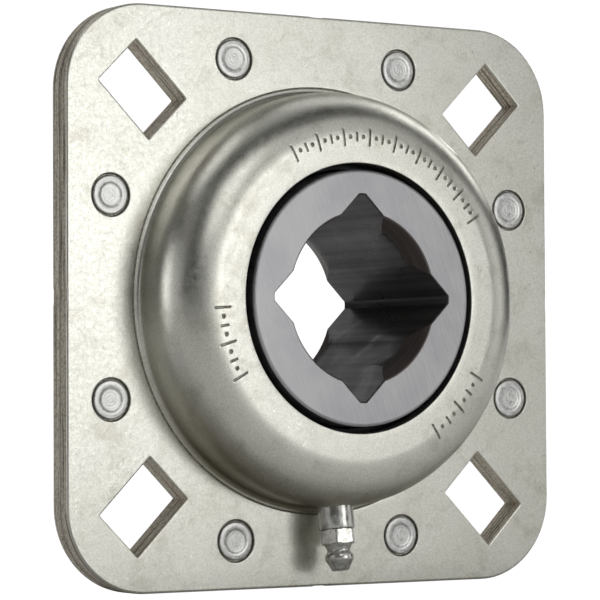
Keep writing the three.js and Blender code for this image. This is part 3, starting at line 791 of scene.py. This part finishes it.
def outer_ring():
    shoulder_r, race_r, race_centre = 36.3, 6.6, 32.5
    recess_r, recess_y, end_y, sphere_r = 38.3, 10.9, 15.1, 42.5
    groove_r, groove_y, groove_half = 40.1, -9.6, 1.5
    race_end = math.degrees(math.acos((shoulder_r - race_centre) / race_r))

    def sphere(start, end, steps):
        return [(math.sqrt(sphere_r ** 2 - y ** 2), y) for y in np.linspace(start, end, steps)]

    end_r = math.sqrt(sphere_r ** 2 - end_y ** 2)
    profile = arc(race_centre, 0, race_r, -race_end, race_end, 24)
    profile += [(shoulder_r, recess_y), (recess_r, recess_y), (recess_r, end_y - 0.2), (recess_r + 0.2, end_y)]
    profile += [(end_r - 0.5, end_y)] + sphere(end_y - 0.5, groove_y + groove_half, 20)
    profile += [(groove_r, groove_y + groove_half), (groove_r, groove_y - groove_half)]
    profile += sphere(groove_y - groove_half, 0.5 - end_y, 6) + [(end_r - 0.5, -end_y), (recess_r + 0.2, -end_y)]
    profile += [(recess_r, 0.2 - end_y), (recess_r, -recess_y), (shoulder_r, -recess_y)]
    return revolved("outer_ring_ground", profile, GROUND, "bearing_outer", ["outer_ring"], 192)


outer_ring()


def centre_of(name):
    low_corner, high_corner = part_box(name)
    return Vector([(a + b) / 2 for a, b in zip(low_corner, high_corner)])


def lapped_ball(name, radius, body):
    b = Builder()
    b.skin(revolve_loops([(radius * math.cos(math.radians(a)), radius * math.sin(math.radians(a)))
                          for a in range(-90, 91, 5)], 72))
    return b.make(name + "_lapped", [POLISHED], body, [name], 60, Matrix.Translation(centre_of(name)))


for i in range(9):
    lapped_ball(f"ball_{i + 1}", 6.3, f"rolling_ball_{i + 1}")
lapped_ball("fitting_check_ball", 0.9, "check_ball")


def cage_half(word, side):
    """Pressed ribbon: flat between the balls and bent round half of each ball."""
    inner_r, outer_r, gap, sheet, pocket = 30.2, 34.8, 0.1, 0.8, 6.45
    bend = pocket + 0.68
    turns = sorted(math.atan2(c.z, c.x) for c in (centre_of(f"ball_{i + 1}") for i in range(9)))
    swing = np.radians(np.linspace(-89, 89, 37))
    curves = []
    for r, radius, floor in ((inner_r, pocket, gap), (outer_r, pocket, gap), (outer_r, bend, gap + sheet),
                             (inner_r, bend, gap + sheet)):
        points = []
        for k, turn in enumerate(turns):
            for w in swing:
                a = turn + math.asin(radius * math.sin(w) / r)
                points.append((r * math.cos(a), side * max(floor, radius * math.cos(w)), r * math.sin(a)))
            last = turn + math.asin(radius / r)
            nxt = turn + 2 * math.pi / len(turns) - math.asin(radius / r)
            for a in np.linspace(last, nxt, 8)[1:-1]:
                points.append((r * math.cos(a), side * floor, r * math.sin(a)))
        curves.append(points)
    b = Builder()
    b.skin(curves, closed=True)
    return b.make(f"cage_{word}_half_strip", [STRIP], "ball_cage", [f"cage_{word}_half"], 40)


cage_half("front", -1)
cage_half("rear", 1)
for i in range(9):
    b = Builder()
    half = [(0.3, 1.41), (0.7, 1.36), (1.05, 1.2), (1.24, 1.02), (1.28, 0.93), (0.7, 0.92)]
    ids = b.skin(revolve_loops(half + [(r, -d) for r, d in reversed(half)], 32))
    b.cap(ids[0])
    b.cap(ids[-1])
    name = f"cage_rivet_{i + 1}"
    b.make(name + "_head", [STRIP], "ball_cage", [name], 50, Matrix.Translation(centre_of(name)))

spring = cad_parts["fitting_check_spring"]
spring.data.materials.clear()
spring.data.materials.append(STRIP)


# ---------------------------------------------------------------- studio

scene = bpy.context.scene
scene.view_settings.view_transform = "Standard"
scene.view_settings.look = "None"

floor_mesh = bpy.data.meshes.new("floor")
size, low = 3.0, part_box("front_flangette")[0][2]
floor_mesh.from_pydata([(-size, -size, low), (size, -size, low), (size, size, low), (-size, size, low)], [], [(0, 1, 2, 3)])
floor = bpy.data.objects.new("floor", floor_mesh)
scene.collection.objects.link(floor)


def white_to_camera(tree, surface, output):
    """The camera sees plain white; light and reflections see the surface itself."""
    nodes, links = tree.nodes, tree.links
    seen = nodes.new("ShaderNodeEmission")
    seen.inputs["Color"].default_value = (1, 1, 1, 1)
    seen.inputs["Strength"].default_value = 1.05
    path = nodes.new("ShaderNodeLightPath")
    mixer = nodes.new("ShaderNodeMixShader")
    links.new(path.outputs["Is Camera Ray"], mixer.inputs["Fac"])
    links.new(surface, mixer.inputs[1])
    links.new(seen.outputs["Emission"], mixer.inputs[2])
    links.new(mixer.outputs["Shader"], output)


FLOOR = material("pale_floor", (0.7, 0.7, 0.7), 0.0, 0.9)
floor_paint = FLOOR.node_tree.nodes["Principled BSDF"]
floor_paint.inputs["Emission Color"].default_value = (1, 1, 1, 1)
# The floor's glow is painted light from below, with a painted shadow right under the part where it gives little light,
# and more glow in front of it.
floor_nodes, floor_links = FLOOR.node_tree.nodes, FLOOR.node_tree.links
depth_in_front = reach(floor_nodes, floor_links, (0.001, 1, 0.001))
floor_links.new(remap(floor_nodes, floor_links, depth_in_front, 0.0, 0.14, 0.02, 0.04),
                floor_paint.inputs["Emission Strength"])
white_to_camera(FLOOR.node_tree, floor_paint.outputs["BSDF"],
                FLOOR.node_tree.nodes["Material Output"].inputs["Surface"])
floor_mesh.materials.append(FLOOR)

world = bpy.data.worlds.new("studio")
scene.world = world
world.use_nodes = True
background = world.node_tree.nodes["Background"]
background.inputs["Color"].default_value = (1, 1, 1, 1)
background.inputs["Strength"].default_value = 0.015
white_to_camera(world.node_tree, background.outputs["Background"],
                world.node_tree.nodes["World Output"].inputs["Surface"])


def softbox(name, direction, distance, width, height, power):
    light = bpy.data.lights.new(name, "AREA")
    light.shape = "RECTANGLE"
    light.size, light.size_y = width, height
    light.energy = power
    obj = bpy.data.objects.new(name, light)
    d = Vector(direction).normalized()
    obj.location = d * distance
    obj.rotation_euler = d.to_track_quat("Z", "Y").to_euler()
    scene.collection.objects.link(obj)
    return obj


def toward(azimuth, elevation):
    """Direction seen from the part: azimuth from the front, positive to the right."""
    a, e = math.radians(azimuth), math.radians(elevation)
    return (math.sin(a) * math.cos(e), -math.cos(a) * math.cos(e), math.sin(e))


# (name, azimuth, elevation, width in m, power in W)
LIGHTS = (
    ("key_front_right", 22, 1, 0.36, 1.3),
    ("front", 0, 3, 0.32, 0.32),
    ("right_low", 65, 5, 0.45, 0.45),
    ("rear_right", 130, 5, 0.32, 2.0),
    ("left_low", -80, 5, 0.32, 0.2),
    ("rear_left", -105, 5, 0.32, 0.7),
    ("high_front_right", 45, 33, 0.45, 0.3),
    ("high_front", 15, 33, 0.45, 0.25),
    ("high_front_left", -15, 33, 0.45, 0.95),
    ("high_far_left", -75, 33, 0.45, 0.12),
    ("high_rear_right", 110, 33, 0.45, 1.35),
    ("high_rear", 180, 45, 0.45, 0.5),
    ("top_right", 120, 62, 0.45, 0.45),
    ("top_left", -110, 62, 0.45, 0.7),
    ("top", 0, 90, 0.45, 0.2),
)
for name, azimuth, elevation, width, power in LIGHTS:
    softbox(name, toward(azimuth, elevation), 0.9, width, 0.45, power)

# Camera fitted to the flange corners, slots and rivets.
right = Vector((0.83875828, -0.54448012, -0.00509395))
up = Vector((-0.01487696, -0.0322673, 0.99936855))
back = right.cross(up).normalized()
camera_data = bpy.data.cameras.new("camera")
camera_data.sensor_width = 36
camera_data.lens = 177.045
camera_data.shift_x = -19.013 / 600
camera_data.shift_y = 0.664 / 600
camera_data.clip_start = 0.05
camera = bpy.data.objects.new("camera", camera_data)
spot = (back * 674.2 + Vector((0, -FACE, 0))) * MM
camera.matrix_world = Matrix.Translation(spot) @ Matrix((right, up, back)).transposed().to_4x4()
scene.collection.objects.link(camera)
scene.camera = camera
